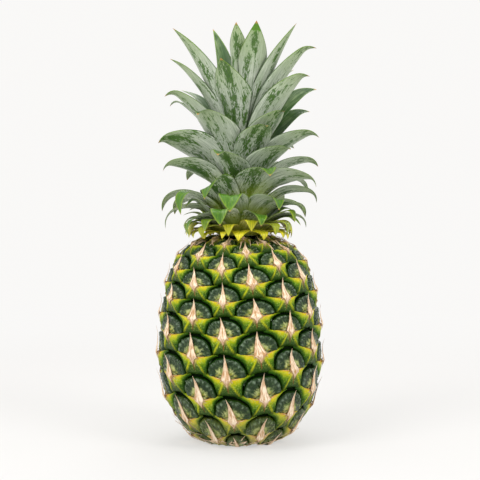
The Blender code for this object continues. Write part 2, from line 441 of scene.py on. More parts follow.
def bract_material():
    """Lime and yellow along the lip, deep green below and painted darker still towards its foot as shade,
    with two yellow ridges and a crack.
    """
    shade = Shade("eye_bract")
    a = shade.value("a")
    b = shade.value("b")
    q = shade.value("q")
    wide = abs(a)
    offset = shade.value("chance") * 53.0
    local = shade.vector(a * 10.0, b * 10.0, offset)
    mottle = shade.noise(local, 0.8, 5.0, 0.6)
    grain = shade.noise(local, 2.6, 3.0, 0.6)
    fibre = shade.noise(shade.vector(a * 60.0, b * 6.0, offset), 1.0)
    down = q + (mottle - 0.5) * 0.6
    green = shade.mix(grain.step(0.35, 0.7), *BRACT_GREEN)
    lime = shade.mix(mottle.step(0.35, 0.65), *BRACT_LIME)
    colour = shade.mix(down.step(0.2, 0.6), lime, green)
    yellow = down.step(0.04, 0.36, 1.0, 0.0) * wide.step(0.15, 0.74, 1.0, 0.12)
    colour = shade.mix(yellow, colour, BRACT_YELLOW)
    colour = shade.mix(wide.step(0.52, 0.76, 0.0, 0.85), colour, BRACT_WING)
    colour = shade.mix(shade.value("panel") * 0.8, colour, shade.mix(grain, *BRACT_PANEL))
    frost = grain.step(0.53, 0.63) * (wide + q).step(1.15, 0.3)
    colour = shade.mix(frost * 0.65, colour, BRACT_FROST)
    ridge = shade.value("ridge") * grain.step(0.2, 0.5, 0.6, 1.0)
    colour = shade.mix(ridge * 0.9, colour, BRACT_RIDGE)
    fan = (wide - b * 0.6).step(0.1, 0.24, 1.0, 0.0) * b.step(-0.3, -0.08)
    colour = shade.mix(fan * fibre.step(0.3, 0.6, 0.3, 0.95), colour, BRACT_FAN)
    wander = (shade.noise(shade.vector(b * 8.0, offset), 1.0, 2.0) - 0.5) * 0.09
    crack = abs(a + wander).step(0.004, 0.02, 1.0, 0.0) * b.step(-0.06, -0.1) * b.step(-0.38, -0.28)
    colour = shade.mix(crack * 0.85, colour, BRACT_CRACK)
    rim = q.step(0.0, 0.08, 1.0, 0.0) * wide.step(0.56, 0.24)
    colour = shade.mix(rim * 0.9, colour, BRACT_RIM)
    # Painted shade: darker green down the bract and near black at its foot, where it sinks into the groove.
    colour = shade.mix(down.step(0.52, 0.9, 0.0, 0.8), colour, BRACT_PAINTED_SHADE)
    colour = shade.mix(q.step(0.9, 0.99), colour, BRACT_PAINTED_EDGE_SHADE)
    parched = shade.value("dry") * (grain * 0.9 + (0.75 - q)).step(0.4, 0.85)
    parched = parched * wide.step(0.6, 0.2, 0.35, 1.0)
    colour = shade.mix(parched, colour, shade.mix(fibre, *BRACT_DRIED))
    height = mottle * 0.9 + grain * 0.9 - crack * 1.2
    shade.set(Base_Color=colour, Roughness=grain * 0.3 + 0.24, Specular_IOR_Level=0.13,
              Normal=shade.bump(height, 0.45 * MM))
    return shade.material


PAPER = (0.5, 0.27, 0.11), (0.92, 0.77, 0.58)
PAPER_BLOTCH = (0.45, 0.25, 0.11)
PAPER_FOOT = (0.5, 0.26, 0.12)
PAPER_EDGE = (0.42, 0.19, 0.05)


def spine_material():
    """Papery cream streaked along its fibres, browner at the foot and the edges."""
    shade = Shade("eye_spine")
    along = shade.value("along")
    across = shade.value("across")
    offset = shade.value("chance") * 91.0
    fibre = shade.noise(shade.vector(across * 1.7, along * 2.2, offset), 2.0, 3.0, 0.6)
    blotch = shade.noise(shade.vector(across * 1.2, along * 5.0, offset), 1.4)
    colour = shade.mix(fibre.step(0.36, 0.6), *PAPER)
    colour = shade.mix(blotch.step(0.52, 0.7) * 0.4, colour, PAPER_BLOTCH)
    colour = shade.mix(along.step(0.42, 0.1) * 0.45, colour, PAPER_FOOT)
    colour = shade.mix(abs(across).step(0.7, 1.0) * 0.55, colour, PAPER_EDGE)
    shade.set(Base_Color=colour, Roughness=0.6, Specular_IOR_Level=0.3,
              Normal=shade.bump(fibre, 0.4 * MM))
    return shade.material


# The groove's own dark green, darkened to near black as painted shade.
GROOVE_GREEN_AND_SHADE = (0.001, 0.005, 0.001), (0.005, 0.014, 0.002)


def groove_material():
    """The dark green between the eyes, painted near black as shade in the deep crevices."""
    shade = Shade("groove")
    damp = shade.noise(shade.place(), 700.0, 4.0, 0.6)
    # Painted shade: the groove's green is darkened to near black, as deep crevices look in shade.
    shade.set(Base_Color=shade.mix(damp, *GROOVE_GREEN_AND_SHADE), Roughness=0.8, Specular_IOR_Level=0.05,
              Normal=shade.bump(damp, 0.4 * MM))
    return shade.material


# ---------------------------------------- the fruit's pieces


def eye_dryness(number):
    """The lowest eyes are dried out, and the ones under the crown a little."""
    low = 1 - smoothstep(-4, 20, number + 3 * eye_chance(number, "dryness"))
    return float(max(low, 0.35 * smoothstep(84, 95, number)))


def build_groove():
    """The dark surface under the eyes, which also closes the fruit underneath."""
    climbs = np.linspace(-FOOT[0], CLIMBS[-1], 120)[:, None]
    depth = GROOVE_DEPTH * smoothstep(-6 * MM, 6 * MM, climbs)
    sheets = Sheets()
    sheets.add(on_fruit(all_round(180), climbs, -depth), closed=True)
    new_piece("fruit_groove", sheets, groove_material(), "rind", "fruit")


def build_plates():
    """The domed upper plate of each eye, lumpy round its rim and creased about the spine."""
    sheets = Sheets()
    rings = np.concatenate([np.linspace(0, 0.70, 5, endpoint=False), np.linspace(0.70, 1.0, 9)])[:, None]
    turns = np.linspace(math.radians(-30), math.radians(210), 58)[None, :]
    across = np.abs(np.cos(turns)) ** (2 / SQUARENESS) * np.sign(np.cos(turns))
    upward = np.abs(np.sin(turns)) ** (2 / SQUARENESS) * np.sign(np.sin(turns))
    for number in range(FIRST_SHOWN, LAST_SHOWN):
        lumps = Waves(number + PLATE_SEED, 6)
        corners = 9 + 3 * eye_chance(number, "corners")
        phase = 6 * eye_chance(number, "scallops")
        scallops = 0.5 + 0.5 * np.cos(21 * turns + phase + 2.2 * lumps(3 * turns, 7.0))
        rim = 1 + 0.018 * lumps(5 * turns, 1.0) + 0.012 * np.cos(corners * turns + phase) + 0.008 * scallops
        wider = 1 + 0.10 * (1 - smoothstep(3, 20, number))
        a = PLATE_HALF * wider * rings * rim * across
        b = PLATE_MIDDLE * (1 - 0.3 * rings) + (PLATE_TOP - PLATE_MIDDLE) * rings * rim * upward
        wide = np.abs(a)
        lump = scallops * bump_at(rings, 0.83, 0.10)
        folds = np.maximum(0, lumps(9 * turns, 2.0 * rings + 3)) ** 2
        below = b + 0.42 * wide - 0.175
        lipped = smoothstep(0.06, 0.12, wide) * smoothstep(0.36, 0.28, wide)
        lip = bump_at(below, 0.0, 0.016) * lipped
        crack = bump_at(below, -0.032, 0.013) * lipped
        fall = 1 - np.sqrt(np.clip(1 - (np.clip(rings - 0.86, 0, 1) / 0.14) ** 2, 0, 1))
        lift = 1.55 - 0.75 * rings ** 2 - 0.30 * bump_at(rings, 0.64, 0.06) + 0.70 * lump
        lift = lift - 0.45 * folds * smoothstep(0.15, 0.6, rings) * smoothstep(0.95, 0.7, rings)
        lift = lift + 0.35 * lip - 0.55 * crack - 3.0 * fall
        lift = lift + 0.30 * lumps(3 * a / 0.2, 3 * b / 0.2, 5.0)
        lift = lift - 3.2 * smoothstep(0.020, -0.055, b - bract_top(wide))
        sheets.add(in_eye(number, a, b, lift * relief(number)), a=a, b=b, ring=rings, turn=turns, lump=lump,
                   lip=lip, crack=crack, chance=eye_chance(number, "plate"), dry=eye_dryness(number))
    new_piece("fruit_plates", sheets, plate_material(), "rind", "fruit")


def bract_top(wide):
    """The line of a bract's lip, on b, at a distance from the eye's middle."""
    return -0.014 + 0.105 * (wide / WING) ** 1.6


def below_neighbour(a, drop):
    """The upper outline of the plate of the next column's lower eye, a groove away."""
    half = PLATE_HALF + GROOVE_WIDTH
    top = PLATE_TOP - PLATE_MIDDLE + GROOVE_WIDTH
    inside = np.clip(1 - (np.abs(1 - np.abs(a)) / half) ** SQUARENESS, 0, 1)
    return np.where(np.abs(a) > 1 - half, PLATE_MIDDLE - drop + top * inside ** (1 / SQUARENESS), -1.0)


def build_bracts():
    """The winged bract over each eye's lower half, with its lip standing proud of the plate."""
    sheets = Sheets()
    # q is how far down the bract a row is, from its lip at 0 to its foot at 1.
    q = np.array([-0.03, 0.0, 0.012, 0.04, 0.09, 0.15, 0.22, 0.30, 0.38, 0.46, 0.54, 0.62, 0.70, 0.77, 0.83,
                  0.88, 0.92, 0.96, 1.0])[:, None]
    spread = np.linspace(-1, 1, 41)[None, :]
    inside = np.clip(q, 0, 1)
    a = WING * np.sign(spread) * np.abs(spread) ** 1.08
    wide = np.abs(a)
    wing = (wide / WING) ** 1.5
    lower_plate = below_neighbour(a, np.where(a > 0, RIGHT_EYE_DROP, LEFT_EYE_DROP))
    for number in range(FIRST_SHOWN, LAST_SHOWN):
        lumps = Waves(number + BRACT_SEED, 7)
        skew = 0.02 * lumps(1.0, 2.0, 3.0)
        top = bract_top(wide) + 0.007 * lumps(12 * a, 1.0) + skew * a
        keel = -0.462 - 0.03 * smoothstep(0.12, 0.30, wide) + 0.45 * np.maximum(0, wide - 0.33)
        keel = keel + 0.012 * lumps(9 * a, 6.0)
        low = np.minimum(np.maximum(keel, lower_plate), top - 0.004)
        b = top + (low - top) * inside + 0.02 * np.clip(-q / 0.03, 0, 1)
        past = wide - (0.055 + 0.70 * np.abs(b + 0.03))      # outwards from the slanting ridge
        ridge = bump_at(past, 0.0, 0.026) * smoothstep(-0.02, -0.07, b)
        panel = smoothstep(0.02, -0.05, past) * smoothstep(-0.05, -0.2, b)
        crest = 2.3 - 2.5 * wing
        lift = crest - 1.1 * inside ** 1.6 * (1 - 0.6 * wing) - (crest + 1.6) * inside ** 9
        lift = lift - 0.5 * (1 - smoothstep(0.0, 0.05, q)) - 2.6 * (q < 0)
        lift = lift + 0.9 * bump_at(a, 0.0, 0.085) * (1 - smoothstep(0.0, 0.35, q))
        lift = lift + 0.55 * ridge - 0.55 * panel
        lift = lift - 0.9 * smoothstep(0.05, 0.30, past) * smoothstep(0.0, 0.6, inside)
        lift = lift + 0.22 * lumps(14 * a, 14 * b, 2.0) + 0.12 * lumps(40 * a, 40 * b, 9.0)
        sheets.add(in_eye(number, a, b, lift * relief(number)), flip=True, a=a, b=b, q=q, ridge=ridge,
                   panel=panel, chance=eye_chance(number, "bract"), dry=eye_dryness(number))
    new_piece("fruit_bracts", sheets, bract_material(), "rind", "fruit")


def add_blade(sheets, number, centre_a, centre_b, half_widths, lifts, thick, chance):
    """A thin pointed blade along a line on an eye, closed all round."""
    turns = all_round(10)
    across = np.cos(turns)
    half = half_widths[:, None]
    fullness = half / half.max()
    a = centre_a[:, None] + half * across
    lift = lifts[:, None] + thick * np.sin(turns) * np.sqrt(fullness) - 0.35 * across ** 2 * fullness
    sheets.add(in_eye(number, a, centre_b[:, None], lift * relief(number)), closed=True, flip=True,
               along=np.linspace(0, 1, len(half_widths))[:, None], across=across, chance=chance)


def add_fringe(sheets):
    """Dry flakes and hairs in a ragged ring round the foot, spreading out above the floor."""
    source = np.random.default_rng(FRINGE_SEED)
    part = np.linspace(0, 1, 9)[:, None]
    turns = all_round(8)
    for index in range(FRINGE_FLAKES):
        hair = index % 5 == 0
        bearing = math.tau * (index + source.uniform(-0.4, 0.4)) / FRINGE_FLAKES
        climb = (source.uniform(13, 18) if hair else source.uniform(3, 9)) * MM
        run = source.uniform(6, 13) * MM if hair else source.uniform(4, 7) * MM
        stout = source.uniform(0.25, 0.4) * MM if hair else source.uniform(1.6, 3.6) * MM
        bend = source.uniform(-0.5, 0.5)
        away = source.uniform(0.30, 0.60) if hair else source.uniform(0.05, 0.22)
        half = stout * (1 - part ** 1.6) ** 0.8 * (1 + 0.3 * np.sin(6 * part + index)) + 0.06 * MM
        across = np.cos(turns) * half
        along = run * part
        lift = 0.6 * MM + along * math.sin(away) + 0.18 * MM * np.sin(turns) - 12 * across ** 2
        turn = bearing + (bend * along ** 2 / run + across) / np.interp(climb, CLIMBS, RADII)
        points = on_fruit(turn, climb + along * math.cos(away), lift)
        points[..., 2] = np.maximum(points[..., 2], 0.15 * MM)
        sheets.add(points, closed=True, flip=True, along=0.3 + 0.6 * part, across=np.cos(turns),
                   chance=source.uniform())


def add_shoulder_fibres(sheets):
    """Dry papery strips that come out from under the crown and lie over the fruit's shoulder."""
    source = np.random.default_rng(FIBRE_SEED)
    part = np.linspace(0, 1, 11)[:, None]
    turns = all_round(8)
    for index in range(SHOULDER_FIBRES):
        bearing = math.tau * (index + source.uniform(-0.5, 0.5)) / SHOULDER_FIBRES
        climb = CLIMBS[-1] - source.uniform(10, 15) * MM
        run = source.uniform(6, 13) * MM
        stout = source.uniform(0.2, 1.3) * MM
        bend = source.uniform(-0.8, 0.8)
        arch = source.uniform(1.0, 2.4) * MM
        half = stout * (1 - part ** 2) ** 0.7 * (1 + 0.3 * np.sin(7 * part + index)) + 0.06 * MM
        across = np.cos(turns) * half
        lift = 0.6 * MM + arch * np.sin(math.pi * part ** 0.7) + 0.15 * MM * np.sin(turns)
        turn = bearing + (bend * run * part ** 2 + across) / (34 * MM + 0.5 * run * part)
        sheets.add(on_fruit(turn, climb - run * part, lift), closed=True, along=0.25 + 0.6 * part,
                   across=np.cos(turns), chance=source.uniform())


# A spine's half width and its lift, at levels on b.
SPINE_WIDTHS = [(-0.20, 0.004), (-0.12, 0.045), (-0.06, 0.100), (-0.015, 0.165), (0.03, 0.158),
                (0.10, 0.122), (0.20, 0.090), (0.30, 0.061), (0.40, 0.036), (0.50, 0.015), (0.575, 0.0015)]
SPINE_LIFTS = [(-0.20, 2.2), (-0.10, 3.3), (-0.02, 3.9), (0.05, 3.5), (0.2, 2.6), (0.4, 2.7), (0.575, 4.3)]
# The torn strips on each side of a spine's foot: start, end, climb on b, and half width.
SPINE_FRAYS = [(0.11, 0.30, 0.030, 0.030), (0.09, 0.17, -0.080, 0.028)]


def build_spines():
    """The papery spine over each plate, with its frayed foot, and the fruit's loose dry strips."""
    sheets = Sheets()
    levels, widths = zip(*SPINE_WIDTHS)
    foot, tip = levels[0], levels[-1]
    part = np.concatenate([np.linspace(0, 0.28, 9, endpoint=False), np.linspace(0.28, 1, 14)])
    level = foot + (tip - foot) * part
    rise = np.clip(level / tip, 0, 1)
    lifts = np.interp(level, *zip(*SPINE_LIFTS))
    fray = part[::3]
    for number in range(FIRST_SHOWN, LAST_SHOWN):
        source = eye_source(number, "lean")
        lean = source.normal(0, 0.05)
        tall = 1 + source.normal(0, 0.05)
        bow = source.normal(0, 0.02)
        middle = lean * rise ** 1.3 + bow * np.sin(math.pi * rise)
        half = np.interp(level, levels, widths) * (0.92 + 0.2 * source.uniform())
        half = half * (1 + 0.10 * Waves(number + SPINE_SEED, 5)(30 * part, 0.0))
        upright = np.where(level > 0, level * tall, level)
        add_blade(sheets, number, middle, upright, half, lifts, 0.35, eye_chance(number, "spine"))
        for side in (-1, 1):
            for start, end, climb, stout in SPINE_FRAYS:
                run = side * (end + 0.06 * source.uniform() - start)
                half = stout * (1 - fray) ** 0.8 + 0.002
                add_blade(sheets, number, side * start + run * fray, -0.005 + climb * fray ** 1.5, half,
                          3.2 - fray, 0.3, eye_chance(number, "fray"))
    add_fringe(sheets)
    add_shoulder_fibres(sheets)
    new_piece("fruit_spines", sheets, spine_material(), "rind", "fruit")


# ---------------------------------------- the crown's design

STEM_OUTLINE = [(16.4 * MM, 156.8 * MM), (15.5 * MM, 162 * MM), (11.5 * MM, 185 * MM),
                (7 * MM, 210 * MM), (1 * MM, 238 * MM)]
LEAF_FOOT_GAP = 1.0 * MM
LOWEST_FOOT = 160 * MM
HIGHEST_FOOT = 236 * MM
LOWEST_RISE = math.radians(50)
HIGHEST_RISE = math.radians(89)
MOST_BENT = 46.0
STRAIGHTEST = 0.6
STIFFENING = 1.6
WIDEST_CLASP = math.radians(46)

# Every leaf: its tip's bearing in degrees, reach and height in mm, its width in mm, the degrees
# that its end hooks over by, where along it the hook starts and ends, how rubbed it is, the
# degrees that it turns about its midrib, and the degrees that its tip leans round from its foot.
LEAVES = [
    (-13, 14, 316, 38, 0, 0.6, 1.0, 0.45, 0, 0), (25, 30, 316, 41, 0, 0.6, 1.0, 0.35, -12, -24),
    (-150, 44, 315, 19, 10, 0.6, 1.0, 0.4, -20, 0), (-79, 51, 312, 24, 5, 0.7, 1.0, 0.4, 34, 0),
    (66, 45, 315, 20, 0, 0.6, 1.0, 0.35, -22, -6), (-23, 40, 288, 47, 0, 0.6, 1.0, 1.0, 0, -8),
    (-98, 54, 290, 22, 12, 0.8, 1.0, 0.3, 32, 0), (82, 58, 297, 22, 55, 0.86, 1.0, 0.4, -30, 0),
    (180, 22, 308, 26, 5, 0.6, 1.0, 0.4, 0, 0), (142, 41, 296, 26, 10, 0.6, 1.0, 0.4, 0, 0),
    (66, 58, 275, 24, 50, 0.86, 1.0, 0.6, -25, 8), (-174, 48, 270, 27, 20, 0.6, 1.0, 0.4, 10, 0),
    (128, 53, 283, 25, 20, 0.6, 1.0, 0.4, 0, 0), (-126, 56, 267, 23, 20, 0.6, 1.0, 0.4, 0, 0),
    (103, 61, 267, 23, 25, 0.8, 1.0, 0.4, 30, 0),
    (-38, 48, 246.5, 42, 80, 0.88, 0.98, 0.55, 10, 12), (43, 46, 249, 33, 45, 0.88, 1.0, 0.8, -8, -10),
    (25, 47, 238, 31, 55, 0.90, 1.0, 0.95, 0, 1), (-88, 57, 261, 22, 70, 0.84, 1.0, 0.5, 28, 0),
    (-106, 57, 254, 20, 80, 0.84, 1.0, 0.4, 0, 0), (112, 57, 250, 20, 30, 0.8, 1.0, 0.4, 30, 0),
    (158, 52, 255, 28, 40, 0.6, 1.0, 0.4, 0, 0), (-148, 54, 246, 27, 40, 0.6, 1.0, 0.4, 0, 0),
    (-72, 64, 226, 34, 40, 0.84, 1.0, 0.85, 42, -2), (46, 50, 221, 32, 55, 0.88, 1.0, 0.7, -8, 2),
    (75, 61, 230, 23, 50, 0.82, 1.0, 0.5, -26, 6), (-20, 49, 217, 33, 85, 0.89, 0.98, 0.95, 0, -3),
    (178, 56, 232, 28, 40, 0.6, 1.0, 0.4, 0, 0), (134, 56, 222, 24, 40, 0.6, 1.0, 0.4, 0, 0),
    (-136, 60, 219, 24, 40, 0.6, 1.0, 0.4, 0, 0), (-164, 57, 212, 27, 50, 0.6, 1.0, 0.4, 0, 0),
    (96, 60, 208, 21, 45, 0.8, 1.0, 0.4, -20, 0), (153, 59, 204, 26, 50, 0.6, 1.0, 0.4, 0, 0),
    (29, 52, 202, 31, 75, 0.84, 0.95, 0.95, 0, 5), (65, 63, 193, 25, 60, 0.82, 1.0, 0.5, -20, 8),
    (-70, 61, 205, 24, 60, 0.82, 1.0, 0.75, 24, -8), (-33, 50, 185, 29, 85, 0.60, 0.92, 0.8, 34, -4),
    (-138, 60, 197, 24, 50, 0.6, 1.0, 0.4, 0, 0), (118, 60, 188, 22, 50, 0.6, 1.0, 0.4, 0, 0),
    (176, 58, 193, 25, 50, 0.6, 1.0, 0.4, 0, 0), (84, 58, 181, 20, 60, 0.75, 1.0, 0.4, -18, 0),
    (-11, 49, 176, 24, 85, 0.70, 0.80, 0.8, 5, -2), (35, 51, 177, 22, 80, 0.80, 0.90, 0.6, -12, 2),
    (-57, 53, 173, 18, 95, 0.58, 0.88, 0.4, 2, 0), (-96, 60, 174, 19, 45, 0.6, 1.0, 0.4, 16, 0),
    (-160, 57, 181, 23, 50, 0.6, 1.0, 0.4, 0, 0), (144, 56, 177, 22, 50, 0.6, 1.0, 0.4, 0, 0),
    (64, 53, 173, 20, 60, 0.75, 1.0, 0.5, -16, 0), (-118, 56, 171, 20, 50, 0.6, 1.0, 0.4, 20, 0),
    (110, 54, 169, 20, 50, 0.6, 1.0, 0.4, 0, 0), (-20, 49, 166, 20, 85, 0.72, 0.82, 0.7, 8, -2),
    (20, 50, 165.5, 17, 80, 0.82, 0.92, 0.7, -12, 2), (-76, 58, 162, 19, 45, 0.65, 1.0, 0.3, 12, 0),
    (-50, 51, 161, 18, 50, 0.65, 1.0, 0.3, 14, 0), (86, 50, 162, 18, 55, 0.65, 1.0, 0.3, -12, 0),
    (-172, 54, 167, 22, 50, 0.6, 1.0, 0.4, 0, 0), (158, 53, 161, 20, 50, 0.6, 1.0, 0.4, 0, 0),
]
GREEN_TIPPED = 2
FREE_HOOK = 12                        # leaves that hook over by no more than this are pointed
LOW_RANKS = 0.45                      # below this rank a leaf is more and more like the lowest
POINTED = {"widest": 0.40, "blunt": 1.55}
ROUNDED = {"widest": 0.47, "blunt": 2.05}
LEAF_THICKNESS = 0.8 * MM
LEAF_COLUMNS = 15
HALVINGS = 40                         # the rounds of a search that halves its range each time


def stem_radius(height):
    widths, heights = zip(*STEM_OUTLINE)
    return np.interp(height, heights, widths)


def leaf_family(rank):
    """How the leaf of a rank sets out: its foot, its heading in radians and its bend per metre."""
    foot_height = LOWEST_FOOT + (HIGHEST_FOOT - LOWEST_FOOT) * rank
    softness = (1 - rank) ** STIFFENING
    rise = HIGHEST_RISE + (LOWEST_RISE - HIGHEST_RISE) * softness
    bend = STRAIGHTEST + (MOST_BENT - STRAIGHTEST) * softness
    return (float(stem_radius(foot_height)) + LEAF_FOOT_GAP, foot_height), rise, bend


def rank_through(reach, height):
    """The rank whose leaves pass through a place. Higher ranks always pass above lower ones."""
    low, high = 0.0, 1.0
    for _ in range(HALVINGS):
        rank = (low + high) / 2
        foot, rise, bend = leaf_family(rank)
        sine = math.sin(rise) - bend * (reach - foot[0])
        if sine >= -1 and foot[1] + (math.cos(math.asin(sine)) - math.cos(rise)) / bend > height:
            high = rank
        else:
            low = rank
    return rank


def leaf_path(foot, rise, tip, hook, start, end, count):
    """A midrib from foot to tip, as radius, height and heading, that ends in a hook."""
    parts = np.linspace(0, 1, count)
    chord = math.atan2(tip[1] - foot[1], tip[0] - foot[0])
    low, high = -2.0, 5.0
    for _ in range(HALVINGS):
        turned = (low + high) / 2
        headings = rise - turned * parts - hook * smoothstep(start, end, parts)
        outwards = np.concatenate([[0.0], np.cumsum(arc_mean(np.cos(headings)))])
        upwards = np.concatenate([[0.0], np.cumsum(arc_mean(np.sin(headings)))])
        if math.atan2(upwards[-1], outwards[-1]) > chord:
            low = turned
        else:
            high = turned
    scale = math.dist(foot, tip) / math.hypot(outwards[-1], upwards[-1])
    return foot[0] + outwards * scale, foot[1] + upwards * scale, headings


def add_leaf(sheets, bearing, foot, rise, tip, hook, start, end, width, seed, widest, blunt, rows=44,
             channel=0.16, foot_width=0.62, twist=0.0, sway=0.0, **values):
    """One leaf: an outer and an inner face that meet in thin margins."""
    source = np.random.default_rng([seed, LEAF_SEED])
    lumps = Waves(seed + LEAF_LUMPS_SEED, 8)
    radius, height, heading = leaf_path(foot, rise, tip, hook, start, end, rows)
    length = math.hypot(radius[1] - radius[0], height[1] - height[0]) * (rows - 1)
    part = np.linspace(0, 1, rows)
    growing = foot_width + (1 - foot_width) * np.sin(math.pi / 2 * part / widest)
    tapering = 1 - (np.clip(part - widest, 0, 1) / (1 - widest)) ** blunt
    breadth = np.maximum(np.where(part < widest, growing, tapering), 0.022 * (part < 0.999))
    outer = np.linspace(-1, 1, LEAF_COLUMNS)
    across = np.concatenate([outer, outer[-2:0:-1]])[None, :]
    inner = np.concatenate([np.zeros(LEAF_COLUMNS), np.ones(LEAF_COLUMNS - 2)])[None, :]
    lines = (part, radius, height, heading, breadth)
    part, radius, height, heading, breadth = (line[:, None] for line in lines)
    half = np.minimum(width * breadth / 2 / np.maximum(radius, 1 * MM), WIDEST_CLASP)
    sway = sway * (part ** 1.4 - 1) + math.radians(source.normal(0, 2.0)) * part ** 2
    twist = (twist + source.normal(0, 0.06)) * smoothstep(0.0, 0.5, part)
    ragged = 1 + 0.025 * lumps(9 * part, np.sign(across), 0.0)
    reach = half * radius
    lift = channel * reach * across ** 2 + np.sin(twist) * reach * across
    lift = lift + 0.02 * width * lumps(5 * part, 2.2 * across, 4.0) * np.sqrt(part) * breadth
    lift = lift - 0.035 * width * breadth * bump_at(across, 0.0, 0.10)
    thick = LEAF_THICKNESS * (1 - 0.55 * part) * np.minimum(1, breadth * 4)
    thick = thick * np.sqrt(np.clip(1 - 0.96 * across ** 2, 0, 1))
    lift = lift + thick * (inner - 0.5)
    turn = bearing + sway + half * across * ragged * np.cos(twist)
    points = round_axis(radius - lift * np.sin(heading), turn, height + lift * np.cos(heading))
    # u and v are millimetres across and along the leaf, and edge is millimetres from its margin.
    sheets.add(points, closed=True, across=across, along=part, inner=inner, u=reach * across / MM,
               v=length * part / MM, edge=reach * (1 - np.abs(across)) / MM, chance=source.uniform(),
               **values)


SILVER = (0.275, 0.335, 0.25), (0.77, 0.82, 0.71)
# Partly the low leaves' own silver bloom, partly painted light.
LOW_SILVER_AND_LIGHT = (0.2, 0.27, 0.13), (0.95, 0.98, 0.82)
SILVER_CLOUD = (0.3, 0.39, 0.235)
SILVER_TIP = (0.25, 0.36, 0.11)
RUBBED = (0.014, 0.06, 0.003), (0.072, 0.172, 0.016)
GREEN_STREAK = (0.036, 0.102, 0.013)
GREEN_RIB = (0.045, 0.125, 0.015)
# The leaf feet's own yellow-green, made brighter as painted light.
FOOT_OUTSIDE_AND_LIGHT = (0.56, 0.68, 0.06)
FOOT_INSIDE_AND_LIGHT = (0.45, 0.52, 0.04)
INSIDE_DEEP = (0.012, 0.05, 0.008), (0.05, 0.125, 0.022)
INSIDE_BRIGHT = (0.022, 0.095, 0.002), (0.09, 0.23, 0.006)
INSIDE_FLECK = (0.21, 0.37, 0.03)
INSIDE_EDGE = (0.33, 0.43, 0.012)
INSIDE_BLOOM = (0.3, 0.4, 0.19)
# The leaf's own margin, darker on the upper leaves partly as painted shade.
MARGIN_AND_SHADE = (0.02, 0.075, 0.004), (0.16, 0.29, 0.01)
MARGIN_TIP = (0.175, 0.31, 0.014)
FRESH_TIP = (0.085, 0.225, 0.01)
DRY_TIP = (0.46, 0.25, 0.06)
YELLOWED = (0.4, 0.43, 0.008), (0.9, 0.74, 0.025)


